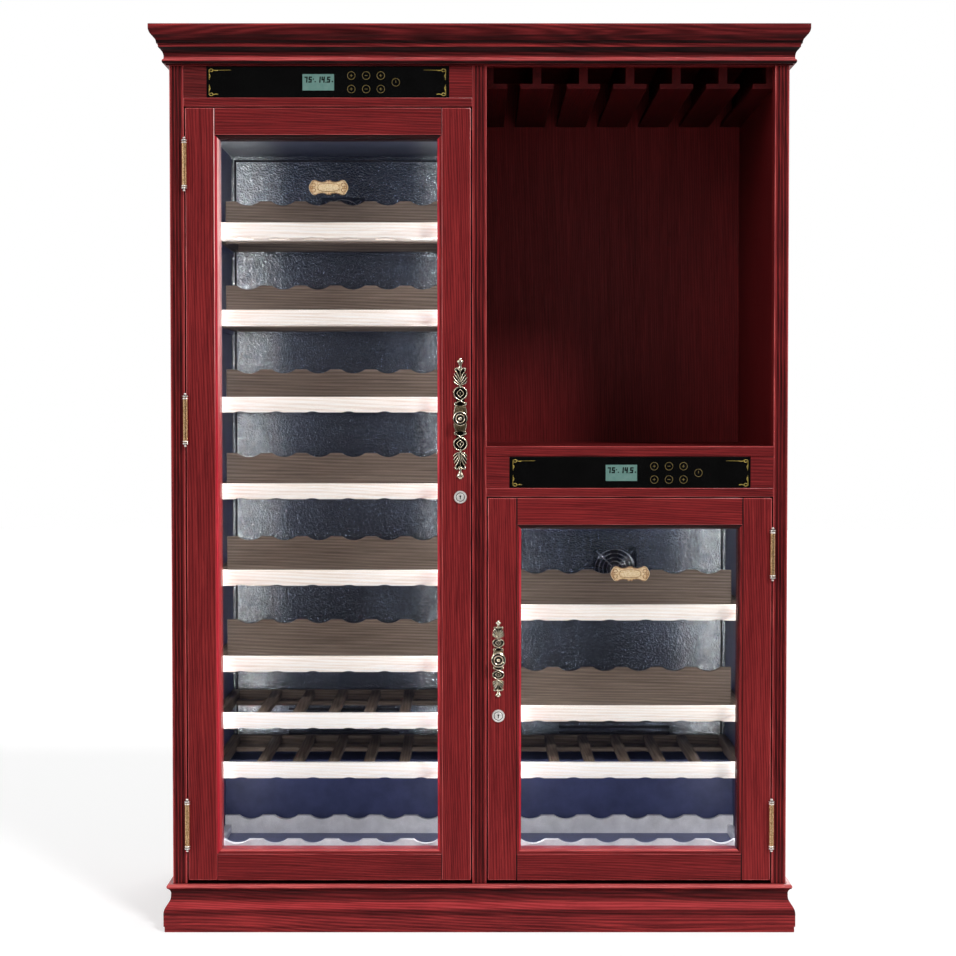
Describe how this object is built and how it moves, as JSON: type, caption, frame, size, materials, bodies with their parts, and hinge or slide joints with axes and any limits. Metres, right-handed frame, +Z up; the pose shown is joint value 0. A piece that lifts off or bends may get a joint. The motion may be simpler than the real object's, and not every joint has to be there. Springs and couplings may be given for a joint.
{
  "type": "wine cabinet",
  "caption": "Free-standing wooden wine cabinet with a tall and a short glazed cooler, slatted shelves, and an open niche with a stemware rack.",
  "frame": {"origin": "on the floor, under the middle of the whole outline", "axes": "X to the right seen from the front, Y from the front to the back, Z up"},
  "size_m": [1.372, 0.68, 1.9],
  "materials": {
    "mahogany": "gloss lacquer",
    "beech": "satin",
    "white_rack": "white lacquer",
    "insulated_case": "coated sheet over foam",
    "liner": "satin",
    "aluminium": "stucco embossed",
    "light_strip": "frosted",
    "black_panel": "gloss",
    "black_steel": "satin",
    "black_plastic": "satin",
    "glass": "clear, slightly tinted",
    "rubber": "matt",
    "brass": "antique",
    "chrome": "polished"
  },
  "bodies": {
    "cabinet": {"side_panel_left": "mahogany", "side_panel_right": "mahogany", "centre_partition": "mahogany", "top_board": "mahogany", "base_board": "mahogany", "niche_floor": "mahogany", "niche_back": "mahogany", "header_rails": "mahogany", "cornice": "mahogany", "plinth": "mahogany", "stile_left": "mahogany", "stile_centre": "mahogany", "stile_right": "mahogany", "stemware_rack": "mahogany", "hinge_leaves_cabinet": "brass", "fascia_left": "mahogany", "control_panel_left": "black_panel", "cooler_case_left": "insulated_case", "liner_left": "liner", "back_wall_left": "aluminium", "duct_cover_left": "aluminium", "led_strips_left": "light_strip", "cooling_unit_left": "black_steel", "floor_rack_left": "white_rack", "display_shelf_left_1": "beech", "display_shelf_left_2": "beech", "display_shelf_left_3": "beech", "display_shelf_left_4": "beech", "display_shelf_left_5": "beech", "display_shelf_left_6": "beech", "storage_shelf_left_1": "beech", "storage_shelf_left_2": "beech", "fascia_right": "mahogany", "control_panel_right": "black_panel", "cooler_case_right": "insulated_case", "liner_right": "liner", "back_wall_right": "aluminium", "duct_cover_right": "aluminium", "led_strips_right": "light_strip", "cooling_unit_right": "black_steel", "floor_rack_right": "white_rack", "display_shelf_right_1": "beech", "display_shelf_right_2": "beech", "storage_shelf_right_1": "beech"},
    "door_left": {"door_frame_left": "mahogany", "door_glass_left": "glass", "door_gasket_left": "rubber", "door_handle_left": "brass", "hinge_leaves_door_left": "brass", "lock_barrel_left": "chrome"},
    "lock_left": {"lock_plug_left": "chrome"},
    "fan_left": {"fan_left": "black_plastic"},
    "door_right": {"door_frame_right": "mahogany", "door_glass_right": "glass", "door_gasket_right": "rubber", "door_handle_right": "brass", "hinge_leaves_door_right": "brass", "lock_barrel_right": "chrome"},
    "lock_right": {"lock_plug_right": "chrome"},
    "fan_right": {"fan_right": "black_plastic"}
  },
  "joints": [
    {"name": "door_left_hinge", "type": "hinge", "parent": "cabinet", "child": "door_left", "pos_m": [-0.6165, -0.3075, 0.9], "axis": [0, 0, -1], "range_deg": [0, 170]},
    {"name": "lock_left_turn", "type": "hinge", "parent": "door_left", "child": "lock_left", "pos_m": [-0.04, -0.302, 0.918], "axis": [0, 1, 0], "range_deg": [0, 90]},
    {"name": "fan_left_spin", "type": "hinge", "parent": "cabinet", "child": "fan_left", "pos_m": [-0.3175, 0.192, 1.545], "axis": [0, 1, 0], "continuous": true},
    {"name": "door_right_hinge", "type": "hinge", "parent": "cabinet", "child": "door_right", "pos_m": [0.6165, -0.3075, 0.9], "axis": [0, 0, 1], "range_deg": [0, 170]},
    {"name": "lock_right_turn", "type": "hinge", "parent": "door_right", "child": "lock_right", "pos_m": [0.04, -0.302, 0.456], "axis": [0, -1, 0], "range_deg": [0, 90]},
    {"name": "fan_right_spin", "type": "hinge", "parent": "cabinet", "child": "fan_right", "pos_m": [0.3175, 0.192, 0.729], "axis": [0, 1, 0], "continuous": true}
  ]
}
